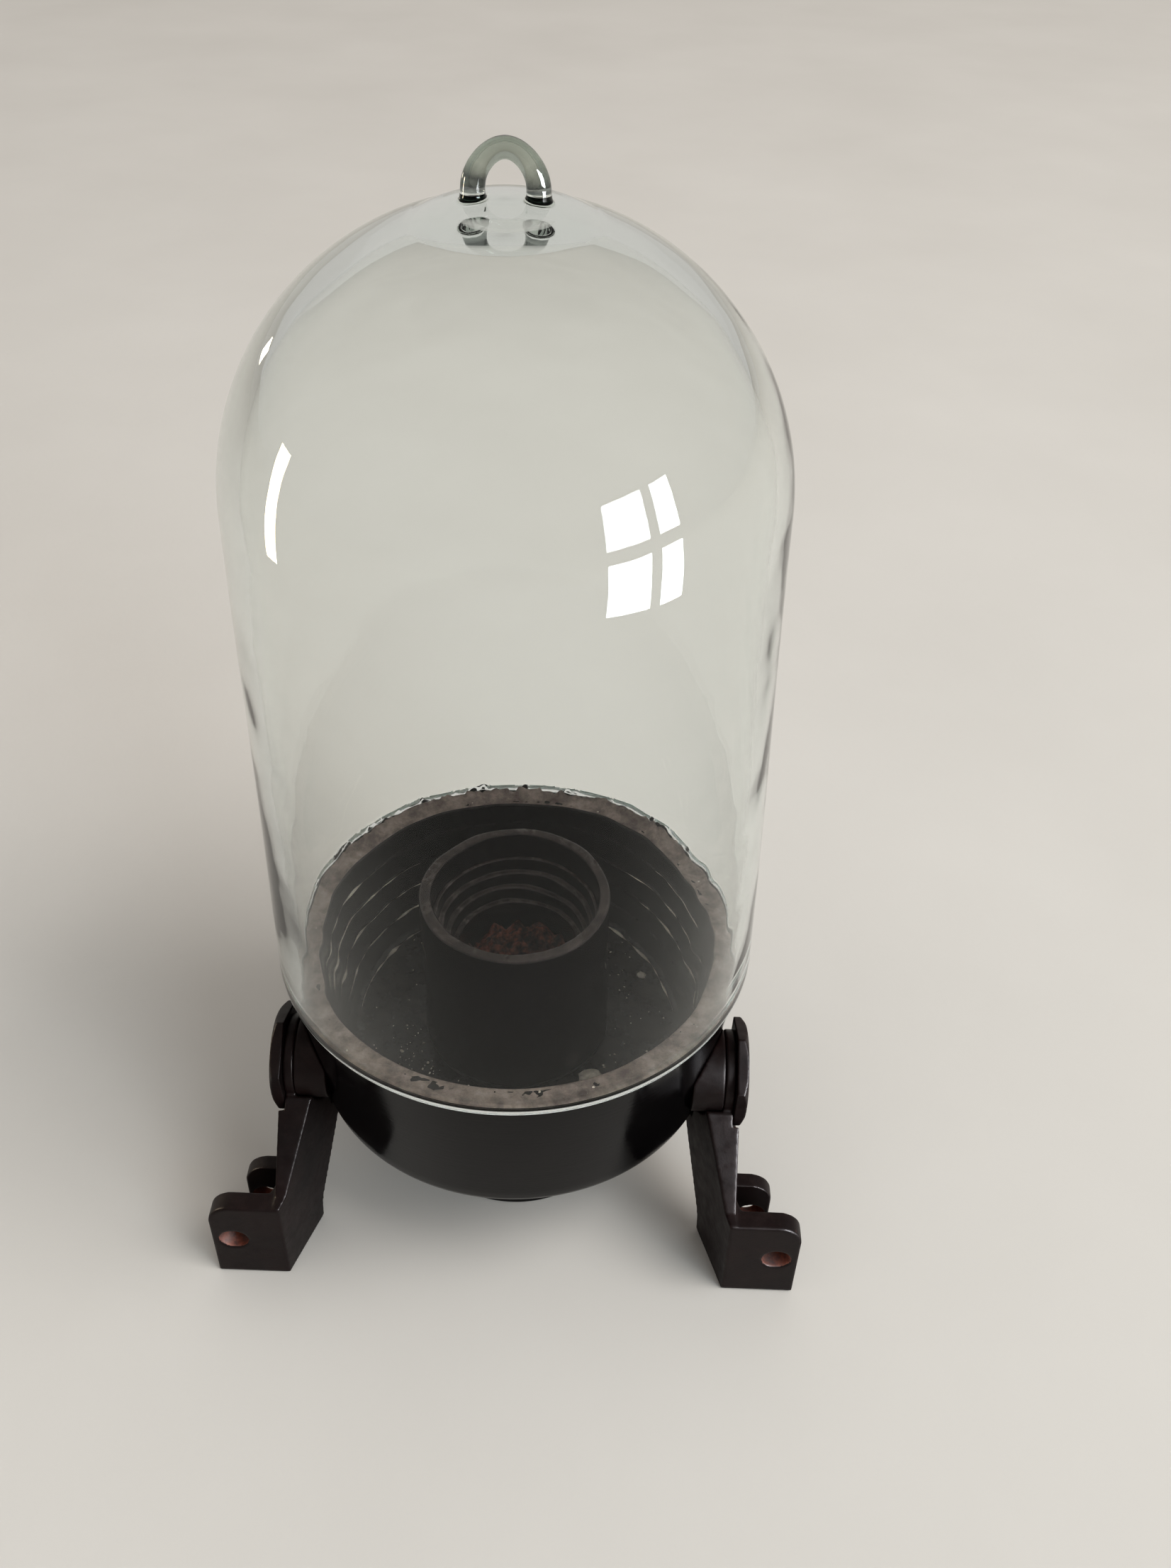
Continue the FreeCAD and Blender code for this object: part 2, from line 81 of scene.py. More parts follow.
def ramp(tree, source, *stops):
    """A colour ramp; each stop is a position with a grey level or an RGB colour."""
    node = add(tree, "ValToRGB", {"Fac": source})
    elements = node.color_ramp.elements
    while len(elements) < len(stops):
        elements.new(0.5)
    for element, (position, colour) in zip(elements, stops):
        level = colour if isinstance(colour, tuple) else (colour,) * 3
        element.position = position
        element.color = (*level, 1.0)
    return node.outputs["Color"]


def noise_at(tree, scale, detail=4.0, roughness=0.55, stretch=None):
    """Noise in object space; the scale is in cells per metre."""
    where = add(tree, "TexCoord").outputs["Object"]
    if stretch:
        where = add(tree, "Mapping", {"Vector": where, "Scale": stretch}).outputs["Vector"]
    made = add(
        tree,
        "TexNoise",
        {"Vector": where, "Scale": scale, "Detail": detail, "Roughness": roughness},
    )
    return made.outputs["Fac"]


def mixed(tree, fac, first, second):
    """Mixes two colours, each an RGB tuple or a socket."""
    node = add(tree, "Mix", data_type="RGBA")
    for index, value in ((0, fac), (6, first), (7, second)):
        if isinstance(value, bpy.types.NodeSocket):
            tree.links.new(value, node.inputs[index])
        elif index == 0:
            node.inputs[index].default_value = value
        else:
            node.inputs[index].default_value = (*value, 1.0)
    return node.outputs[2]


def maths(tree, operation, first, second):
    """One step of arithmetic on two values or sockets, held between 0 and 1."""
    node = add(tree, "Math", {0: first, 1: second}, operation=operation, use_clamp=True)
    return node.outputs[0]


def bumped(tree, shader, *layers):
    """Chains bump layers, each a (height socket, strength, distance)."""
    previous = None
    for height, strength, distance in layers:
        inputs = {"Height": height, "Strength": strength, "Distance": distance}
        if previous:
            inputs["Normal"] = previous
        previous = add(tree, "Bump", inputs).outputs["Normal"]
    tree.links.new(previous, shader.inputs["Normal"])


def facing_up(tree, low, high):
    """1 on faces that look up, where dust settles, and 0 on walls."""
    normal = add(tree, "NewGeometry").outputs["Normal"]
    height = add(tree, "SeparateXYZ", {"Vector": normal}).outputs["Z"]
    return ramp(tree, height, (low, 0.0), (high, 1.0))


def edges(tree, low, high):
    """1 along sharp outer edges, where the mouldings are worn; on the black moulding this line is
    also a painted highlight.
    """
    point = add(tree, "NewGeometry").outputs["Pointiness"]
    return ramp(tree, point, (low, 0.0), (high, 1.0))


# ---------------------------------------------------------------- materials
def clear_glass():
    """Faintly green glass with a thin uneven film of grease and slow ripples."""
    material, tree, shader = new_material("clear_glass")
    shader.inputs["Base Color"].default_value = (0.99, 0.995, 0.992, 1.0)
    shader.inputs["Transmission Weight"].default_value = 1.0
    shader.inputs["IOR"].default_value = GLASS_IOR
    shader.inputs["Specular Tint"].default_value = (0.3, 0.3, 0.3, 1.0)
    smears = noise_at(tree, 30, 5.0, 0.6, (1.0, 1.0, 0.35))
    film = ramp(tree, smears, (0.5, 0.004), (0.78, 0.05))
    tree.links.new(film, shader.inputs["Roughness"])
    bumped(tree, shader, (noise_at(tree, 18, 2.0), 0.5, 0.0012))
    tint = add(tree, "VolumeAbsorption", {"Color": (0.6, 0.78, 0.7, 1.0), "Density": 13.0})
    tree.links.new(tint.outputs["Volume"], tree.nodes["Material Output"].inputs["Volume"])
    return material


def ground_glass():
    """The frosted white edge of the bell's foot."""
    material, tree, shader = new_material("ground_glass_edge")
    frost = noise_at(tree, 900, 3.0)
    colour = ramp(tree, frost, (0.3, (0.78, 0.8, 0.78)), (0.7, (0.95, 0.96, 0.95)))
    tree.links.new(colour, shader.inputs["Base Color"])
    shader.inputs["Transmission Weight"].default_value = 0.35
    shader.inputs["Roughness"].default_value = 0.5
    shader.inputs["IOR"].default_value = GLASS_IOR
    bumped(tree, shader, (frost, 0.5, 0.0003))
    return material


def black_moulding(name, least_dust, most_dust, wear_and_highlight_colour):
    """Glossy black plastic with dust on what looks up and a paler line along its edges, partly
    wear and partly a painted highlight.
    """
    material, tree, shader = new_material(name)
    cloud = noise_at(tree, 22, 5.0)
    deep = ramp(tree, cloud, (0.35, (0.0016, 0.0013, 0.0018)), (0.7, (0.0045, 0.0036, 0.0038)))
    dust_noise = noise_at(tree, 140, 8.0, 0.7)
    thickness = ramp(tree, dust_noise, (0.4, least_dust), (0.8, most_dust))
    dust = maths(tree, "MULTIPLY", facing_up(tree, 0.25, 0.95), thickness)
    dusty = mixed(tree, dust, deep, (0.19, 0.145, 0.13))
    # The pale line along the edges is partly wear and partly a painted highlight on the rounded
    # edges.
    edge_breakup = ramp(tree, noise_at(tree, 120, 5.0, 0.65), (0.38, 0.15), (0.66, 1.0))
    edge_line = maths(tree, "MULTIPLY", edges(tree, 0.52, 0.58), edge_breakup)
    tree.links.new(mixed(tree, edge_line, dusty, wear_and_highlight_colour), shader.inputs["Base Color"])
    film = ramp(tree, noise_at(tree, 60, 6.0, 0.65), (0.35, 0.1), (0.75, 0.22))
    rough = maths(tree, "ADD", film, maths(tree, "MULTIPLY", dust, 0.45))
    tree.links.new(rough, shader.inputs["Roughness"])
    shader.inputs["Specular IOR Level"].default_value = 0.18
    turned = noise_at(tree, 18, 2.0, 0.5, (1.0, 1.0, 60.0))
    bumped(tree, shader, (turned, 0.08, 0.0002), (noise_at(tree, 700, 3.0), 0.07, 0.0002))
    return material


def handle_glass():
    """The loop's thicker glass, tinted by its height, with a dark band of painted shade across
    each leg.
    """
    material, tree, shader = new_material("handle_glass")
    height = add(tree, "SeparateXYZ", {"Vector": add(tree, "TexCoord").outputs["Object"]})
    drift = maths(tree, "MULTIPLY", noise_at(tree, 120, 3.0), 0.006)
    level = maths(tree, "ADD", height.outputs["Z"], drift)
    # The two near-black stops paint shade as a band across each leg of the loop.
    colour = ramp(
        tree,
        level,
        (0.3368, (0.5, 0.57, 0.52)),
        (0.3378, (0.03, 0.036, 0.036)),
        (0.3412, (0.04, 0.045, 0.048)),
        (0.3424, (0.55, 0.6, 0.54)),
        (0.3525, (0.4, 0.45, 0.4)),
    )
    tree.links.new(colour, shader.inputs["Base Color"])
    shader.inputs["Transmission Weight"].default_value = 1.0
    shader.inputs["IOR"].default_value = GLASS_IOR
    shader.inputs["Roughness"].default_value = 0.01
    return material


def settled_dirt():
    """The brownish-grey crust that has dried along the foot of the glass."""
    material, tree, shader = new_material("settled_dirt")
    patches = noise_at(tree, 160, 7.0, 0.7)
    colour = ramp(
        tree,
        patches,
        (0.34, (0.1, 0.07, 0.06)),
        (0.48, (0.19, 0.145, 0.125)),
        (0.7, (0.36, 0.29, 0.25)),
    )
    tree.links.new(colour, shader.inputs["Base Color"])
    shader.inputs["Roughness"].default_value = 0.85
    bumped(tree, shader, (noise_at(tree, 1400, 5.0, 0.7), 0.6, 0.0003))
    return material


def brown_moulding():
    """Dark red-brown moulding: grained, dusty on top and a little paler along its edges."""
    material, tree, shader = new_material("brown_moulding")
    cloud = noise_at(tree, 70, 5.0, 0.6)
    body = ramp(tree, cloud, (0.3, (0.0048, 0.0014, 0.0014)), (0.72, (0.012, 0.0042, 0.004)))
    specks = ramp(tree, noise_at(tree, 2600, 2.0), (0.62, 0.0), (0.8, 0.25))
    grained = mixed(tree, specks, body, (0.045, 0.02, 0.018))
    dust_noise = ramp(tree, noise_at(tree, 260, 7.0, 0.7), (0.45, 0.0), (0.8, 0.08))
    dust = maths(tree, "MULTIPLY", facing_up(tree, 0.3, 0.95), dust_noise)
    dusty = mixed(tree, dust, grained, (0.15, 0.1, 0.09))
    edge_breakup = ramp(tree, noise_at(tree, 240, 5.0, 0.7), (0.35, 0.1), (0.65, 1.0))
    edge_line = maths(tree, "MULTIPLY", edges(tree, 0.54, 0.62), edge_breakup)
    tree.links.new(mixed(tree, edge_line, dusty, (0.06, 0.023, 0.018)), shader.inputs["Base Color"])
    rough = ramp(tree, noise_at(tree, 180, 6.0, 0.65), (0.3, 0.32), (0.75, 0.52))
    tree.links.new(rough, shader.inputs["Roughness"])
    shader.inputs["Specular IOR Level"].default_value = 0.2
    bumped(tree, shader, (cloud, 0.15, 0.0004), (noise_at(tree, 1500, 3.0), 0.18, 0.00012))
    return material


def rusty_bore():
    """The bare orange-brown wall of a drilled hole."""
    material, tree, shader = new_material("rusty_bore")
    stain = noise_at(tree, 320, 5.0, 0.65)
    colour = ramp(tree, stain, (0.35, (0.05, 0.013, 0.008)), (0.7, (0.23, 0.062, 0.03)))
    tree.links.new(colour, shader.inputs["Base Color"])
    shader.inputs["Roughness"].default_value = 0.7
    bumped(tree, shader, (stain, 0.4, 0.0002))
    return material


def rusty_residue():
    """Red-brown crumbs, nearly black in their hollows."""
    material, tree, shader = new_material("rusty_residue")
    lumps = noise_at(tree, 130, 8.0, 0.7)
    colour = ramp(
        tree,
        lumps,
        (0.36, (0.012, 0.006, 0.005)),
        (0.47, (0.06, 0.02, 0.014)),
        (0.57, (0.24, 0.066, 0.038)),
        (0.7, (0.38, 0.16, 0.12)),
    )
    tree.links.new(colour, shader.inputs["Base Color"])
    shader.inputs["Roughness"].default_value = 0.9
    bumped(tree, shader, (noise_at(tree, 900, 6.0, 0.7), 0.8, 0.0006))
    return material


def dull_brass():
    """Tarnished brass, rougher where it is darker."""
    material, tree, shader = new_material("dull_brass")
    tarnish = noise_at(tree, 150, 6.0, 0.65)
    colour = ramp(tree, tarnish, (0.35, (0.2, 0.13, 0.06)), (0.7, (0.55, 0.4, 0.18)))
    tree.links.new(colour, shader.inputs["Base Color"])
    shader.inputs["Metallic"].default_value = 1.0
    tree.links.new(ramp(tree, tarnish, (0.35, 0.6), (0.7, 0.32)), shader.inputs["Roughness"])
    bumped(tree, shader, (noise_at(tree, 800, 4.0), 0.2, 0.0002))
    return material


def seal_rubber():
    """Matt black rubber."""
    material, tree, shader = new_material("seal_rubber")
    mottling = noise_at(tree, 90, 6.0)
    colour = ramp(tree, mottling, (0.3, 0.012), (0.7, (0.035, 0.033, 0.031)))
    tree.links.new(colour, shader.inputs["Base Color"])
    shader.inputs["Roughness"].default_value = 0.8
    bumped(tree, shader, (noise_at(tree, 1200, 4.0), 0.3, 0.0002))
    return material


def trough_dust():
    """The pale material of crumbs and flakes, also used for the thin lines of painted highlight in
    the trough.
    """
    material, tree, shader = new_material("trough_dust")
    mottling = noise_at(tree, 400, 4.0)
    colour = ramp(tree, mottling, (0.3, (0.4, 0.33, 0.27)), (0.7, (0.82, 0.74, 0.63)))
    tree.links.new(colour, shader.inputs["Base Color"])
    shader.inputs["Roughness"].default_value = 0.85
    bumped(tree, shader, (noise_at(tree, 2500, 3.0), 0.4, 0.0001))
    return material


GLASS = clear_glass()
GROUND = ground_glass()
# The last colour of each black moulding is its pale edge line: partly wear, partly painted
# highlight.
BLACK = black_moulding("black_moulding", 0.0, 0.15, (0.17, 0.155, 0.145))
DUSTY_BLACK = black_moulding("dusty_black_moulding", 0.16, 0.5, (0.13, 0.1, 0.095))
HANDLE = handle_glass()
BORE = rusty_bore()
BROWN = brown_moulding()
RUST = rusty_residue()
BRASS = dull_brass()
RUBBER = seal_rubber()
# Pale dust, also used for the thin lines of painted highlight.
DUST_AND_HIGHLIGHT = trough_dust()
DIRT = settled_dirt()


# ---------------------------------------------------------------- mesh helpers
def object_from(mesh, name, *materials):
    """An object in the scene, made of the mesh and its materials."""
    made = bpy.data.objects.new(name, mesh)
    bpy.context.scene.collection.objects.link(made)
    for material in materials:
        mesh.materials.append(material)
    return made


def stands_for(piece, body, slot, *nodes):
    """Hangs a finished piece on its body, in place of the CAD nodes if any are named."""
    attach(piece, body)
    if nodes:
        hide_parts(*nodes)
    return piece


def smooth(mesh):
    """Shades every face of a mesh smooth."""
    mesh.polygons.foreach_set("use_smooth", [True] * len(mesh.polygons))


ON_AXIS = 1e-7


def lathe(name, profile, turns, closed, material, shape=None):
    """Turns (radius, height) points about Z.  Points on the axis become poles.

    shape, if given, moves each finished point.
    """
    bm = bmesh.new()
    rings = []
    for radius, height in profile:
        if radius < ON_AXIS:
            rings.append([bm.verts.new((0.0, 0.0, height))])
            continue
        ring = []
        for i in range(turns):
            angle = 2 * math.pi * i / turns
            ring.append(bm.verts.new((radius * math.cos(angle), radius * math.sin(angle), height)))
        rings.append(ring)
    pairs = list(zip(rings, rings[1:]))
    if closed:
        pairs.append((rings[-1], rings[0]))
    for lower, upper in pairs:
        for i in range(turns):
            j = (i + 1) % turns
            below = (lower[i % len(lower)], lower[j % len(lower)])
            above = (upper[j % len(upper)], upper[i % len(upper)])
            corners = []
            for vert in below + above:
                if vert not in corners:
                    corners.append(vert)
            bm.faces.new(corners)
    bmesh.ops.recalc_face_normals(bm, faces=bm.faces)
    if shape:
        for vert in bm.verts:
            vert.co = shape(vert.co)
    mesh = bpy.data.meshes.new(name)
    bm.to_mesh(mesh)
    bm.free()
    smooth(mesh)
    return object_from(mesh, name, material)


def tube_along(bm, count, around, point):
    """Skins a number of closed rings one after another, and closes both ends.

    point gives a vertex's place from the number of its ring and its angle round it.
    """
    rings = []
    for i in range(count):
        angles = [2 * math.pi * k / around for k in range(around)]
        rings.append([bm.verts.new(point(i, angle)) for angle in angles])
    for lower, upper in zip(rings, rings[1:]):
        for k in range(around):
            j = (k + 1) % around
            bm.faces.new((lower[k], lower[j], upper[j], upper[k]))
    bm.faces.new(rings[0])
    bm.faces.new(rings[-1])


def rounded_profile(corners, steps=4):
    """Rounds the corners of a (radius, height, corner radius) outline into short arcs."""
    points = []
    count = len(corners)
    for i, (x, y, size) in enumerate(corners):
        here = Vector((x, y))
        if size <= 0:
            points.append((x, y))
            continue
        before = Vector(corners[i - 1][:2]) - here
        after = Vector(corners[(i + 1) % count][:2]) - here
        reach = min(size, before.length * 0.49, after.length * 0.49)
        start = here + before.normalized() * reach
        end = here + after.normalized() * reach
        for k in range(steps + 1):
            t = k / steps
            spot = start.lerp(here, t).lerp(here.lerp(end, t), t)
            points.append((spot.x, spot.y))
    return points


def divided(profile, longest):
    """Adds points so that no side of a closed outline is longer than the given length."""
    points = []
    for i, (x, y) in enumerate(profile):
        nx, ny = profile[(i + 1) % len(profile)]
        parts = max(1, math.ceil(math.hypot(nx - x, ny - y) / longest))
        points += [(x + (nx - x) * k / parts, y + (ny - y) * k / parts) for k in range(parts)]
    return points


def applied(piece):
    """Bakes a piece's modifiers into its mesh."""
    bpy.context.view_layer.update()
    graph = bpy.context.evaluated_depsgraph_get()
    mesh = bpy.data.meshes.new_from_object(piece.evaluated_get(graph))
    old = piece.data
    piece.modifiers.clear()
    piece.data = mesh
    bpy.data.meshes.remove(old)
    return piece


def rounded_by_voxels(piece, voxel, strength, passes):
    """Rebuilds a piece from small voxels and relaxes it, which rounds its edges."""
    remesh = piece.modifiers.new("remesh", "REMESH")
    remesh.mode = "VOXEL"
    remesh.voxel_size = voxel
    relax = piece.modifiers.new("relax", "SMOOTH")
    relax.factor = strength
    relax.iterations = passes
    return applied(piece)


def combined(piece, operation, other):
    """Joins another piece to this one, or cuts it away, and leaves the other as it was."""
    modifier = piece.modifiers.new("combine", "BOOLEAN")
    modifier.operation = operation
    modifier.solver = "EXACT"
    modifier.object = other
    return applied(piece)


def softened(node, name, material, voxel, passes):
    """A copy of a CAD node with its edges rounded off the way a moulding's are."""
    mesh = frame["nodes"][node].data.copy()
    mesh.materials.clear()
    piece = rounded_by_voxels(object_from(mesh, name, material), voxel, 0.5, passes)
    smooth(piece.data)
    return piece


# ---------------------------------------------------------------- glass
bell_low, bell_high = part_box("glass_bell")
handle_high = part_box("glass_handle")[1]
BELL_BASE = bell_high.x
BELL_TOP = bell_high.z
RIM = bell_low.z
CROWN_RADIUS = 73.5 * MM
WALL = 5.0 * MM
CROWN_WALL = 6.0 * MM
CROWN_CENTRE = BELL_TOP - CROWN_RADIUS
WALL_TAPER = 0.024
LEAN = -1.0 * MM
LEAN_HEIGHT = 150 * MM
SLOW_WAVE = 0.32 * MM
FINE_WAVE = 0.05 * MM
STEADY_FOOT = 25 * MM
CHIP_HEIGHT = 3.2 * MM


def lean(height):
    """How far the hand-blown bell drifts sideways by this height."""
    t = min(max((height - RIM) / LEAN_HEIGHT, 0.0), 1.0)
    return LEAN * t * t * (3 - 2 * t)


def skin(base, crown, top, walls, arcs):
    """One side of the glass from its foot to its pole."""
    centre = top - crown
    rise = centre - RIM
    taper = math.atan2(base, rise) - math.asin(crown / math.hypot(base, rise))
    shoulder = (crown * math.cos(taper), centre + crown * math.sin(taper))
    points = [
        (base + (shoulder[0] - base) * k / walls, RIM + (shoulder[1] - RIM) * k / walls)
        for k in range(walls)
    ]
    for k in range(arcs):
        angle = taper + (math.pi / 2 - taper) * k / arcs
        points.append((crown * math.cos(angle), centre + crown * math.sin(angle)))
    return points + [(0.0, top)]


def blown(outside):
    """A move of the glass's points by the slow waves of hand blowing.

    The inner and outer skins get different waves, so the wall's thickness varies.
    """

    def move(co):
        radial = Vector((co.x, co.y, 0.0))
        if radial.length < ON_AXIS:
            return co + Vector((lean(co.z), 0.0, 0.0))
        offset = 0.0 if outside(co) else 3.7
        wave = noise.noise(Vector((co.x * 16, co.y * 16, co.z * 9 + offset)))
        fine = noise.noise(Vector((co.x * 45, co.y * 45, co.z * 30 + offset)))
        fade = min(1.0, (co.z - RIM) / STEADY_FOOT)
        shift = radial.normalized() * (wave * SLOW_WAVE + fine * FINE_WAVE) * fade
        return co + shift + Vector((lean(co.z), 0.0, 0.0))

    return move


def bell_outside(co):
    """Whether a point of the bell is on its outer skin."""
    flat = math.hypot(co.x, co.y)
    if co.z < CROWN_CENTRE:
        return flat > BELL_BASE - WALL * 0.6 - (co.z - RIM) * WALL_TAPER
    return math.hypot(flat, co.z - CROWN_CENTRE) > CROWN_RADIUS - WALL * 0.5


def chipped(co):
    """Breaks the bell's foot along its back into small flakes."""
    if co.z > RIM + CHIP_HEIGHT:
        return co
    angle = math.atan2(co.y, co.x)
    back = min(max(math.sin(angle) * 1.6 + 0.15, 0.0), 1.0)
    coarse = noise.noise(Vector((co.x * 130, co.y * 130, 5.0)))
    small = noise.noise(Vector((co.x * 420, co.y * 420, 9.0)))
    depth = max(0.0, coarse * 1.5 + small * 0.9 - 0.05) * 1.9 * MM * back
    near = 1.0 - (co.z - RIM) / CHIP_HEIGHT
    return co + Vector((0.0, 0.0, depth * near))


def glass_bell():
    """The bell alone, with its ground foot."""
    walls = 70
    arcs = 60
    outer = skin(BELL_BASE, CROWN_RADIUS, BELL_TOP, walls, arcs)
    inner = skin(BELL_BASE - WALL, CROWN_RADIUS - WALL, BELL_TOP - CROWN_WALL, walls, arcs)
    bevel = 0.7 * MM
    foot = [
        (BELL_BASE - bevel * 0.25, RIM + bevel * 0.25),
        (BELL_BASE - bevel, RIM),
        (BELL_BASE - WALL * 0.35, RIM),
        (BELL_BASE - WALL * 0.65, RIM),
        (BELL_BASE - WALL + bevel, RIM),
        (BELL_BASE - WALL + bevel * 0.25, RIM + bevel * 0.25),
    ]
    outer[0] = (outer[0][0], RIM + bevel)
    inner[0] = (inner[0][0], RIM + bevel)
    profile = list(reversed(outer)) + foot + inner
    move = blown(bell_outside)
    bell = lathe("blown_bell", profile, 480, False, GLASS, lambda co: move(chipped(co)))
    bell.data.materials.append(GROUND)
    for face in bell.data.polygons:
        flat = math.hypot(face.center.x, face.center.y)
        if face.center.z < RIM + bevel and flat > BELL_BASE - WALL * 0.36:
            face.material_index = 1
    return bell


def handle_path():
    """Points along the loop with the bar's radius at each, from foot to foot."""
    leg_bar = 2.95 * MM
    top_bar = 2.5 * MM
    foot_flare = 2.3 * MM
    foot_spread = 1.3 * MM
    foot_height = 328.6 * MM
    arch_height = 336.4 * MM
    arch_half_width = 7.5 * MM
    arch_rise = handle_high.z - top_bar - arch_height
    pinch_depth = 0.14
    leg_steps = 12
    arch_steps = 36
    path = []
    for k in range(leg_steps + 1):
        t = k / leg_steps
        spread = arch_half_width + foot_spread * (1 - t) ** 2
        height = foot_height + (arch_height - foot_height) * t
        path.append((Vector((-spread, 0.0, height)), leg_bar + foot_flare * (1 - t) ** 3))
    leg = list(path)
    for k in range(1, arch_steps):
        angle = math.pi - math.pi * k / arch_steps
        pinch = 1 - pinch_depth * math.sin(angle) ** 2
        spot = Vector((arch_half_width * pinch * math.cos(angle), 0.0, arch_height))
        spot.z += arch_rise * math.sin(angle)
        path.append((spot, leg_bar - (leg_bar - top_bar) * math.sin(angle)))
    return path + [(Vector((-spot.x, 0.0, spot.z)), size) for spot, size in reversed(leg)]


def handle_tube():
    """The drawn loop: an arch whose feet spread into the button."""
    path = handle_path()
    side = Vector((0.0, 1.0, 0.0))
    depth = 1.05

    def point(i, angle):
        spot, size = path[i]
        ahead = path[min(i + 1, len(path) - 1)][0] - path[max(i - 1, 0)][0]
        up = ahead.normalized().cross(side)
        return spot + up * size * math.cos(angle) + side * size * depth * math.sin(angle)

    bm = bmesh.new()
    tube_along(bm, len(path), 40, point)
    bmesh.ops.recalc_face_normals(bm, faces=bm.faces)
    mesh = bpy.data.meshes.new("loop")
    bm.to_mesh(mesh)
    bm.free()
    return object_from(mesh, "loop", GLASS)


def crown_height(radius):
    """The height of the crown's outside at a distance from the axis."""
    return CROWN_CENTRE + math.sqrt(CROWN_RADIUS**2 - radius**2)


def glass_button():
    """The low mound of glass on the crown, thin at its edge and sunk into the bell's wall."""
    seat = handle_high.x * 1.1
    steps = 24
    slope_width = 9.0 * MM
    thickness = 1.1 * MM
    mound_radius = 15 * MM
    mound_height = 0.4 * MM
    sink = 0.1 * MM
    profile = [(0.0, BELL_TOP + thickness + mound_height - sink)]
    for k in range(1, steps + 1):
        radius = seat * k / steps
        edge = min(1.0, (seat - radius) / slope_width)
        lift = thickness * edge * edge * (3 - 2 * edge)
        mound = mound_height * max(0.0, 1 - radius / mound_radius) ** 2
        profile.append((radius, crown_height(radius) + lift + mound - sink))
    profile.append((seat - 0.4 * MM, crown_height(seat) - 2.5 * MM))
    profile.append((0.0, BELL_TOP - 3.2 * MM))
    return lathe("button", profile, 160, False, GLASS)


def glass_with_handle():
    """The bell and the loop stuck on it, which are one body of glass once fused."""
    loop = handle_tube()
    button = combined(glass_button(), "UNION", loop)
    rounded_by_voxels(button, 0.35 * MM, 0.6, 22)
    for vert in button.data.vertices:
        vert.co.x += lean(vert.co.z)
    bell = combined(glass_bell(), "UNION", button)
    smooth(bell.data)
    bell.data.materials.append(HANDLE)
    loop_from = BELL_TOP + 2.6 * MM
    loop_reach = 14 * MM
    for face in bell.data.polygons:
        spot = face.center
        if spot.z > loop_from and math.hypot(spot.x, spot.y) < loop_reach:
            face.material_index = len(bell.data.materials) - 1
    for extra in (loop, button):
        bpy.data.objects.remove(extra)
    return stands_for(bell, "dome", "clear_glass", "glass_bell", "glass_handle")


glass_with_handle()


# ---------------------------------------------------------------- dish and tube
dish_low, dish_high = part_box("dish")
tube_low, tube_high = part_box("center_tube")
sleeve_low, sleeve_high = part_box("stepped_sleeve")
DISH_RADIUS = dish_high.x
DISH_FOOT = 68.5 * MM
LEDGE = 10.5 * MM
FLOOR_RADIUS = 57.5 * MM
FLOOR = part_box("tube_gasket")[0].z
FLOOR_HOLE = 28.8 * MM
TUBE_RADIUS = tube_high.x
MOUTH_RADIUS = 27.2 * MM
SHANK_RADIUS = 28.5 * MM
SHANK_BORE = 24.5 * MM
SHANK_HOLE = 28.55 * MM
WALL_RINGS = 5
RING_DROP = (dish_high.z - FLOOR) / WALL_RINGS
RING_REACH = (DISH_RADIUS - LEDGE - FLOOR_RADIUS) / WALL_RINGS


def dish():
    """The black dish, its trough with turned rings, and the holes for the two inserts."""
    corners = [
        (FLOOR_HOLE, dish_low.z, 0.4 * MM),
        (DISH_FOOT, dish_low.z, 3.0 * MM),
        (DISH_RADIUS, dish_high.z, 0.9 * MM),
        (DISH_RADIUS - LEDGE, dish_high.z, 1.6 * MM),
    ]
    shelf = 0.8 * MM
    half_step = 0.5 * MM
    softness = 0.35 * MM
    for ring in range(1, WALL_RINGS):
        height = dish_high.z - RING_DROP * ring
        radius = DISH_RADIUS - LEDGE - RING_REACH * ring
        corners.append((radius + shelf, height + half_step, softness))
        corners.append((radius, height - half_step, softness))
    corners.append((FLOOR_RADIUS, FLOOR, 2.2 * MM))
    corners.append((FLOOR_HOLE, FLOOR, 0.3 * MM))
    profile = divided(rounded_profile(corners), 3.5 * MM)
    made = lathe("dish_moulding", profile, 320, True, BLACK)
    bore = 12.0 * MM
    reach = 30 * MM
    for word, side in (("left", -1), ("right", 1)):
        low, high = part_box("threaded_insert_" + word)
        bar = lathe("bar", [(0, 0), (bore, 0), (bore, reach), (0, reach)], 96, False, BLACK)
        inner = high.x if side < 0 else low.x
        turn = Matrix.Rotation(math.pi / 2 * side, 4, "Y")
        spot = Vector((inner, (low.y + high.y) / 2, (low.z + high.z) / 2))
        bar.data.transform(Matrix.Translation(spot) @ turn)
        combined(made, "DIFFERENCE", bar)
        bpy.data.objects.remove(bar)
    smooth(made.data)
    return stands_for(made, "base", "black_moulding", "dish")


def center_tube():
    """The upright tube, with a narrower shank through the trough's floor."""
    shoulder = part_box("tube_gasket")[1].z
    seat = sleeve_low.z
    corners = [
        (SHANK_BORE, tube_low.z, 0.5 * MM),
        (SHANK_RADIUS, tube_low.z, 0.8 * MM),
        (SHANK_RADIUS, shoulder, 0.3 * MM),
        (TUBE_RADIUS, shoulder, 0.4 * MM),
        (TUBE_RADIUS, tube_high.z, 1.5 * MM),
        (MOUTH_RADIUS, tube_high.z, 1.3 * MM),
        (MOUTH_RADIUS, seat, 0.2 * MM),
        (SHANK_BORE, seat, 0.2 * MM),
    ]
    profile = divided(rounded_profile(corners, 6), 3.0 * MM)
    made = lathe("tube_moulding", profile, 224, True, DUSTY_BLACK)
    return stands_for(made, "base", "black_moulding", "center_tube")


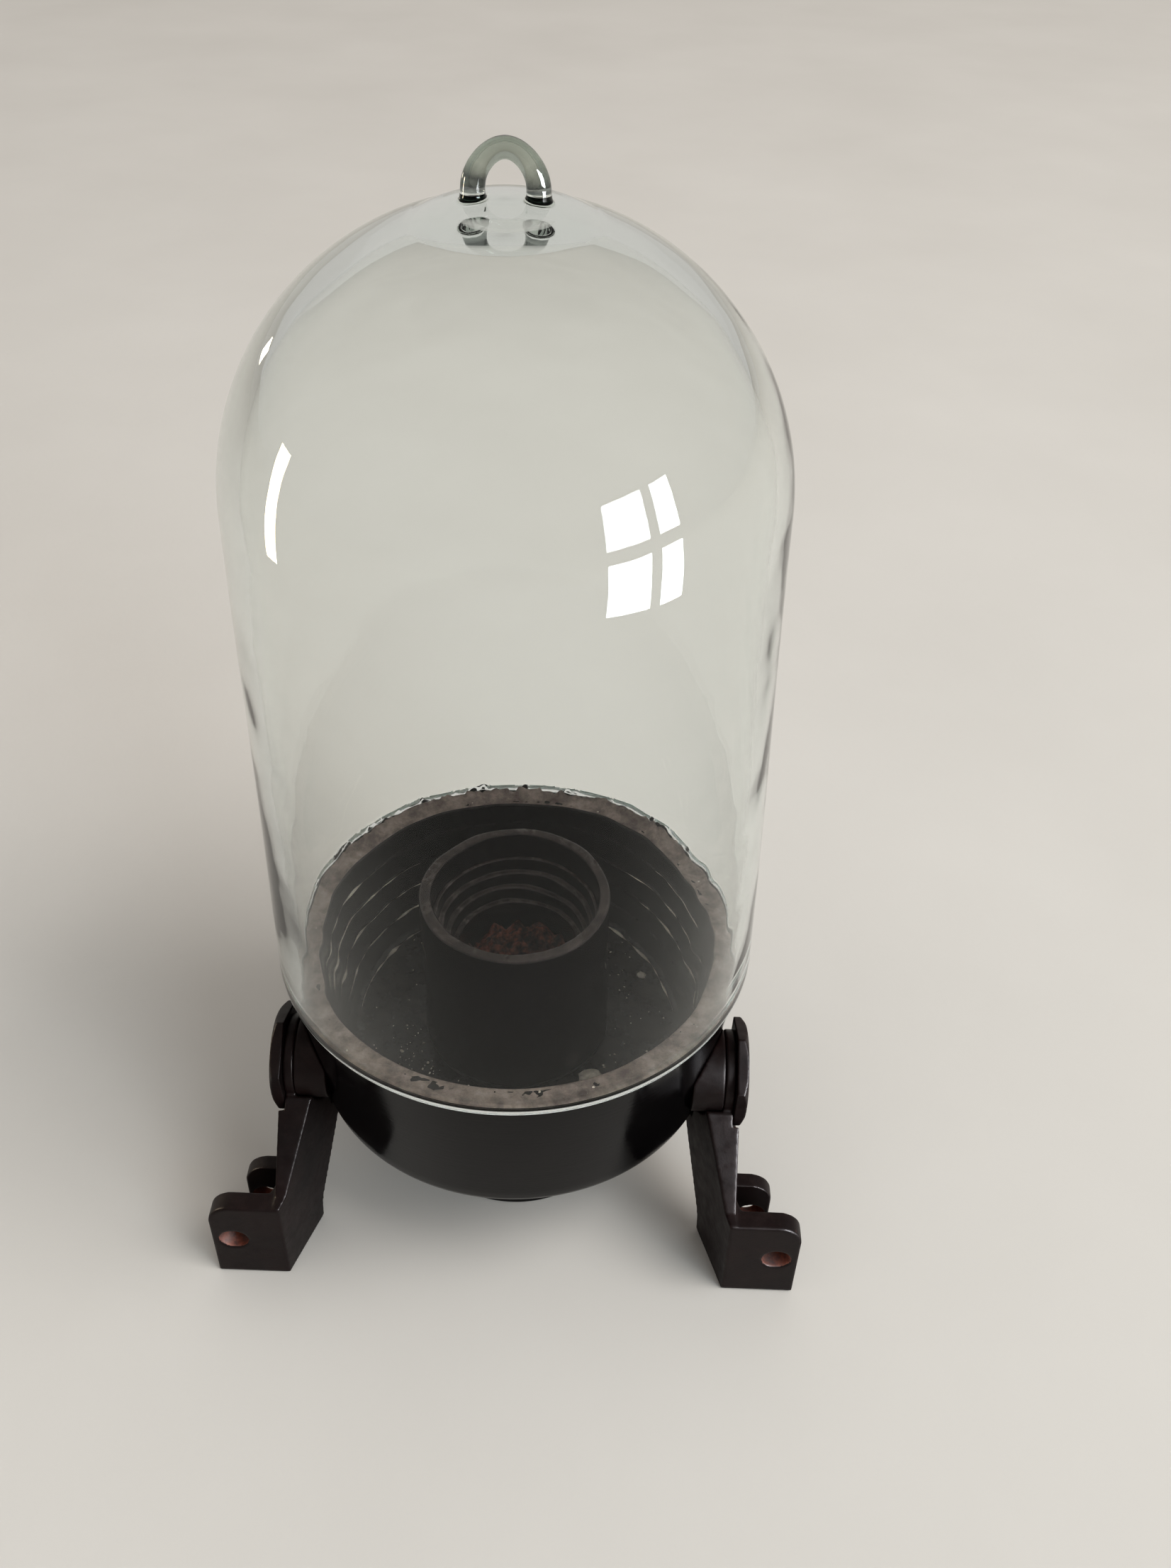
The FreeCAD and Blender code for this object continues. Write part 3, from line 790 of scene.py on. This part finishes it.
def stepped_sleeve():
    """The liner that narrows the tube's bore in steps."""
    clearance = 0.05 * MM
    outer = MOUTH_RADIUS - clearance
    bore = 20.2 * MM
    steps = 3
    step_height = 4.9 * MM
    step_width = 1.9 * MM
    corners = [(outer, sleeve_low.z, 0.2 * MM), (outer, sleeve_high.z, 0.3 * MM)]
    for step in range(steps + 1):
        radius = bore + step_width * (steps - step)
        corners.append((radius, sleeve_high.z - step_height * step, 0.9 * MM))
        if step < steps:
            corners.append((radius, sleeve_high.z - step_height * (step + 1), 0.6 * MM))
    corners.append((bore, sleeve_low.z, 0.3 * MM))
    profile = divided(rounded_profile(corners, 5), 2.5 * MM)
    made = lathe("sleeve_moulding", profile, 224, True, DUSTY_BLACK)
    return stands_for(made, "base", "black_moulding", "stepped_sleeve")


def pedestal():
    """The flanged foot under the dish."""
    low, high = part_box("pedestal")
    flange = high.x
    neck = 32.5 * MM
    way = 22.0 * MM
    flange_top = low.z + 6 * MM
    neck_foot = low.z + 9 * MM
    socket_floor = low.z + 13 * MM
    corners = [
        (way, low.z, 0.4 * MM),
        (flange, low.z, 1.0 * MM),
        (flange, flange_top, 1.8 * MM),
        (neck, neck_foot, 2.5 * MM),
        (neck, high.z, 0.8 * MM),
        (SHANK_HOLE, high.z, 0.4 * MM),
        (SHANK_HOLE, socket_floor, 0.3 * MM),
        (way, socket_floor, 0.4 * MM),
    ]
    profile = divided(rounded_profile(corners, 5), 3.0 * MM)
    made = lathe("pedestal_moulding", profile, 192, True, BLACK)
    return stands_for(made, "base", "black_moulding", "pedestal")


def tube_gasket():
    """The flat rubber ring under the tube's shoulder."""
    low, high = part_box("tube_gasket")
    soft = 0.5 * MM
    corners = [
        (SHANK_HOLE, low.z, soft),
        (high.x, low.z, soft),
        (high.x, high.z, soft),
        (SHANK_HOLE, high.z, soft),
    ]
    made = lathe("gasket_rubber", rounded_profile(corners), 160, True, RUBBER)
    return stands_for(made, "base", "rubber_seal", "tube_gasket")


dish()
center_tube()
stepped_sleeve()
pedestal()
tube_gasket()
stands_for(
    softened("tube_lock_ring", "lock_ring_moulding", BLACK, 0.5 * MM, 6),
    "base",
    "black_moulding",
    "tube_lock_ring",
)


# ---------------------------------------------------------------- residue, dust and painted highlight lines
def bore_residue():
    """A crust with a crumbled top, higher against the back of the bore."""
    low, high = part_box("bore_residue")
    edge = high.x
    deepest = 0.7 * (high.z - low.z)
    rings = 46
    profile = [(0.0, low.z), (edge, low.z)]
    profile += [(edge * (rings - k) / rings, high.z) for k in range(rings)] + [(0.0, high.z)]

    def crumble(co):
        if co.z < (low.z + high.z) / 2:
            return co
        lumps = noise.fractal(Vector((co.x * 230, co.y * 230, 1.0)), 0.8, 2.1, 5)
        pits = abs(noise.noise(Vector((co.x * 110, co.y * 110, 6.0))))
        height = (lumps * 2.4 - pits * 8.0 + 0.8 + co.y / edge * 1.0) * MM
        return co + Vector((0.0, 0.0, max(height, -deepest)))

    made = lathe("residue_crust", profile, 160, False, RUST, crumble)
    return stands_for(made, "base", "rusty_residue", "bore_residue")


def grain(bm, spot, size, flatness):
    """One crumb: a small lopsided lump lying on a surface."""
    turn = Matrix.Rotation(rng.uniform(0, math.tau), 4, "Z")
    squeeze = Matrix.Diagonal((size, size * rng.uniform(0.5, 1.0), size * flatness, 1.0))
    made = bmesh.ops.create_icosphere(bm, subdivisions=2, radius=1.0)
    for vert in made["verts"]:
        wobble = 1 + 0.35 * noise.noise(vert.co * 1.3 + Vector(spot) * 900)
        vert.co = vert.co * wobble
    bmesh.ops.transform(bm, matrix=Matrix.Translation(spot) @ turn @ squeeze, verts=made["verts"])


CRUMBS = 220
CRUMB_SIZES_MM = (0.12, 0.16, 0.2, 0.3, 0.45)
ON_LEDGE_SHARE = 0.2
IN_FRONT_SHARE = 0.45
FLAKES_MM = ((25.5, -25.5, 4.2), (44.0, 22.0, 1.8), (-38.0, -17.0, 0.8))


def scattered_dust():
    """Specks and flakes lying on the trough's floor and on the ledge.

    Many of the floor's specks lie in front of the tube.
    """
    bm = bmesh.new()
    for _ in range(CRUMBS):
        angle = rng.uniform(0, math.tau)
        on_ledge = rng.random() < ON_LEDGE_SHARE
        if on_ledge:
            radius = rng.uniform(65.8, 71.0) * MM
        else:
            radius = rng.uniform(33.5, 54.5) * MM
            if rng.random() < IN_FRONT_SHARE:
                angle = rng.uniform(-0.95, -0.2) * math.pi
                radius = rng.uniform(33.0, 44.0) * MM
        size = rng.choice(CRUMB_SIZES_MM) * MM
        height = (dish_high.z if on_ledge else FLOOR) + size * 0.3
        grain(bm, (radius * math.cos(angle), radius * math.sin(angle), height), size, 0.5)
    for x, y, size in FLAKES_MM:
        grain(bm, (x * MM, y * MM, FLOOR + size * 0.15 * MM), size * MM, 0.25)
    mesh = bpy.data.meshes.new("trough_dust")
    bm.to_mesh(mesh)
    bm.free()
    smooth(mesh)
    made = object_from(mesh, "trough_dust", DUST_AND_HIGHLIGHT)
    return stands_for(made, "base", "rusty_residue")


def ledge_crust():
    """A broken ring of dried dirt on the ledge, thickest against the foot of the glass.

    Along the back it is banked up and more ragged.
    """
    inner = 64.9 * MM
    gap_to_glass = 0.35 * MM
    outer = BELL_BASE - WALL - gap_to_glass
    rings = 14
    under = dish_high.z - 0.03 * MM
    film = 0.01 * MM
    radii = [inner + (outer - inner) * k / rings for k in range(rings + 1)]
    profile = [(radius, under) for radius in radii]
    profile += [(radius, under + film) for radius in reversed(radii)]

    def crumble(co):
        if co.z < under + film / 2:
            return co
        across = (math.hypot(co.x, co.y) - inner) / (outer - inner)
        broad = noise.noise(Vector((co.x * 55, co.y * 55, 3.0)))
        fine = noise.fractal(Vector((co.x * 330, co.y * 330, 8.0)), 0.8, 2.1, 4)
        back = max(0.0, math.sin(math.atan2(co.y, co.x))) ** 0.7
        ragged = noise.fractal(Vector((co.x * 210, co.y * 210, 2.0)), 0.7, 2.0, 4)
        bank = max(0.0, across**3 * back * (1.9 + 3.4 * ragged))
        heap = 0.2 + 0.5 * across**2 + 0.3 * broad + 0.35 * fine + bank
        edge = min(1.0, across * 9) * min(1.0, (1 - across) * 12)
        return co + Vector((0.0, 0.0, max(heap, -0.1) * edge * MM))

    made = lathe("ledge_crust", profile, 420, True, DIRT, crumble)
    return stands_for(made, "base", "rusty_residue")


def pale_line(bm, radius, height, span, wander, thickness, seed):
    """A thin broken line round the axis, between two angles in degrees."""
    start, end = span
    length = end - start
    steps = round(length * 1.5)
    thinnest = 0.02 * MM

    def point(i, turn):
        t = i / steps
        angle = math.radians(start + length * t)
        wobble = noise.noise(Vector((t * length * 0.15, seed, 4.0)))
        drift = noise.noise(Vector((t * length * 0.04, seed + 2.0, 4.0)))
        here = radius + wander * drift
        ends = min(1.0, 8 * t, 8 * (1 - t) + 0.02)
        size = max(thickness * max(0.0, wobble + 0.3) * ends, thinnest)
        spot = Vector((here * math.cos(angle), here * math.sin(angle), height))
        outward = Vector((math.cos(angle), math.sin(angle), 0.0))
        lift = Vector((0.0, 0.0, 0.5 * size * math.sin(turn)))
        return spot + outward * 1.6 * size * math.cos(turn) + lift

    tube_along(bm, steps + 1, 6, point)


# Where the thin pale lines of painted highlight run, in degrees: round the floor, and on each
# numbered ring of the wall.
FLOOR_HIGHLIGHT_SPAN = (6, 178)
RING_HIGHLIGHT_SPANS = (
    (1, (142, 192)),
    (2, (128, 196)),
    (3, (118, 190)),
    (4, (108, 184)),
    (1, (12, 40)),
    (2, (4, 52)),
    (3, (-8, 44)),
)


def painted_highlight_lines():
    """Thin pale lines painted in as highlights: round the trough's floor and on its wall's rings.
    """
    bm = bmesh.new()
    on_floor = FLOOR + 0.04 * MM
    pale_line(bm, 55.2 * MM, on_floor, FLOOR_HIGHLIGHT_SPAN, 0.8 * MM, 0.62 * MM, 0.0)
    for ring, span in RING_HIGHLIGHT_SPANS:
        radius = DISH_RADIUS - LEDGE - RING_REACH * ring + 0.15 * MM
        height = dish_high.z - RING_DROP * ring - 0.35 * MM
        pale_line(bm, radius, height, span, 0.0, 0.5 * MM, 3.7 * ring + span[0])
    bmesh.ops.recalc_face_normals(bm, faces=bm.faces)
    mesh = bpy.data.meshes.new("painted_highlight_lines")
    bm.to_mesh(mesh)
    bm.free()
    smooth(mesh)
    made = object_from(mesh, "painted_highlight_lines", DUST_AND_HIGHLIGHT)
    return stands_for(made, "base", "rusty_residue")


bore_residue()
scattered_dust()
ledge_crust()
painted_highlight_lines()


# ---------------------------------------------------------------- pivots and brackets
def stained(piece, mount_name):
    """Gives the wall of a mount's bore its rusty material."""
    mount = [item for item in frame["record"]["mounts"] if item["name"] == mount_name][0]
    centre = Vector(mount["pos_m"])
    axis = Vector(mount["axis"])
    margin = 0.4 * MM
    reach = mount["dims"]["r_mm"] * MM + margin
    piece.data.materials.append(BORE)
    for face in piece.data.polygons:
        arm = face.center - centre
        aside = arm - axis * arm.dot(axis)
        if aside.length < reach and abs(face.normal.dot(axis)) < 0.6:
            face.material_index = 1


for side in ("left", "right"):
    stands_for(
        softened("mounting_boss_" + side, "boss_casting_" + side, BROWN, 0.4 * MM, 5),
        "base",
        "brown_moulding",
        "mounting_boss_" + side,
    )
    stands_for(
        softened("hex_pivot_bolt_" + side, "hex_bolt_casting_" + side, BROWN, 0.3 * MM, 5),
        "base",
        "brown_moulding",
        "hex_pivot_bolt_" + side,
    )
    stands_for(
        softened("threaded_insert_" + side, "insert_brass_" + side, BRASS, 0.4 * MM, 2),
        "base",
        "brass_insert",
        "threaded_insert_" + side,
    )
    bracket = softened("bracket_" + side, "bracket_casting_" + side, BROWN, 0.42 * MM, 8)
    stained(bracket, "lug_bore_" + side)
    stands_for(bracket, side + "_arm", "brown_moulding", "bracket_" + side)


# ---------------------------------------------------------------- floor, lights, camera
def floor():
    """A wide matt floor with the faintest clouding."""
    just_below = 0.2 * MM
    bpy.ops.mesh.primitive_plane_add(size=14.0, location=(0, 0, -just_below))
    plane = bpy.context.object
    plane.name = "floor"
    material, tree, shader = new_material("pale_floor")
    cloud = noise_at(tree, 5, 4.0)
    tone = ramp(tree, cloud, (0.3, (0.6, 0.58, 0.55)), (0.7, (0.63, 0.61, 0.58)))
    tree.links.new(tone, shader.inputs["Base Color"])
    shader.inputs["Roughness"].default_value = 1.0
    shader.inputs["Specular IOR Level"].default_value = 0.0
    plane.data.materials.append(material)


def softbox(name, spot, target, width, height, power, colour):
    """A rectangular light that faces its target and that the camera doesn't see."""
    data = bpy.data.lights.new(name, "AREA")
    data.shape = "RECTANGLE"
    data.size = width
    data.size_y = height
    data.energy = power
    data.color = colour
    lamp = bpy.data.objects.new(name, data)
    bpy.context.scene.collection.objects.link(lamp)
    lamp.location = spot
    lamp.rotation_euler = (Vector(target) - Vector(spot)).to_track_quat("-Z", "Y").to_euler()
    lamp.visible_camera = False
    return lamp


def gleam(*settings):
    """A light that shows as a highlight in gloss, lights nothing and isn't seen through glass."""
    lamp = softbox(*settings)
    lamp.visible_diffuse = False
    lamp.visible_transmission = False


def wash(*settings):
    """A light that lights matt surfaces and leaves no highlight."""
    lamp = softbox(*settings)
    lamp.visible_glossy = False
    lamp.visible_transmission = False


PANE_RADIANCE = 170.0
PANE_COLUMNS = ((-0.1, 0.08), (0.055, 0.155))
PANE_ROWS = ((0.11, 0.155), (-0.095, 0.17))
PANE_COLOUR = (0.93, 0.97, 1.0)


def window():
    """Four panes with a cross between them, seen mirrored in the glass."""
    centre = Vector((0.398, -0.31, 0.264))
    facing = Vector((-centre.x, -centre.y, 0.0))
    across = Vector((-facing.y, facing.x, 0.0)).normalized()
    for column, (shift, width) in enumerate(PANE_COLUMNS):
        for row, (rise, height) in enumerate(PANE_ROWS):
            name = "window_%d_%d" % (column, row)
            spot = centre + across * shift + Vector((0, 0, rise))
            power = PANE_RADIANCE * width * height
            gleam(name, spot, spot + facing, width, height, power, PANE_COLOUR)


def surroundings():
    """Light walls all round, darker low down and behind the camera, as a room is."""
    world = bpy.data.worlds.new("studio")
    world.use_nodes = True
    tree = world.node_tree
    ray = add(tree, "SeparateXYZ", {"Vector": add(tree, "TexCoord").outputs["Generated"]})
    high = maths(tree, "MULTIPLY", ray.outputs["Z"], 1.15)
    beyond = maths(tree, "MULTIPLY", ray.outputs["Y"], 0.75)
    level = ramp(
        tree,
        maths(tree, "ADD", high, beyond),
        (0.0, (0.36, 0.35, 0.34)),
        (0.3, (0.42, 0.405, 0.39)),
        (0.9, (0.56, 0.54, 0.515)),
    )
    background = tree.nodes["Background"]
    tree.links.new(level, background.inputs["Color"])
    background.inputs["Strength"].default_value = 0.95
    bpy.context.scene.world = world


def lights():
    """A large key from the right, a cool fill in front, and what the glass mirrors."""
    wash("key", (3.4, -1.2, 4.6), (0, 0, 0.1), 3.2, 3.2, 176, (1.0, 0.98, 0.95))
    wash("fill", (1.3, -1.6, 1.2), (0, -0.05, 0), 1.0, 1.0, 14, (0.8, 0.92, 1.0))
    gleam("warm_strip", (-0.49, -0.01, 0.23), (0, -0.01, 0.23), 0.05, 0.26, 1.5, (1.0, 0.84, 0.62))
    gleam("glint", (-0.34, 0.26, 0.32), (0, 0, 0.3), 0.03, 0.03, 0.05, (1.0, 0.9, 0.75))
    window()


def camera():
    """Seen from in front and above, as the photograph was taken."""
    data = bpy.data.cameras.new("camera")
    data.sensor_fit = "VERTICAL"
    data.sensor_height = 36.0
    data.lens = 32.55
    eye = bpy.data.objects.new("camera", data)
    bpy.context.scene.collection.objects.link(eye)
    eye.location = (0.02325, -0.33075, 0.43725)
    pitch = math.radians(39.6)
    heading = math.radians(-0.34)
    roll = math.radians(1.86)
    ahead = Vector((math.sin(heading), math.cos(heading), 0.0))
    forward = ahead * math.cos(pitch) - Vector((0.0, 0.0, math.sin(pitch)))
    level = Vector((math.cos(heading), -math.sin(heading), 0.0))
    above = level.cross(forward)
    right = math.cos(roll) * level + math.sin(roll) * above
    up = -math.sin(roll) * level + math.cos(roll) * above
    eye.rotation_euler = Matrix((right, up, -forward)).transposed().to_euler()
    bpy.context.scene.camera = eye
    view = bpy.context.scene.view_settings
    view.view_transform = "Standard"
    view.look = "Medium High Contrast"


floor()
surroundings()
lights()
camera()
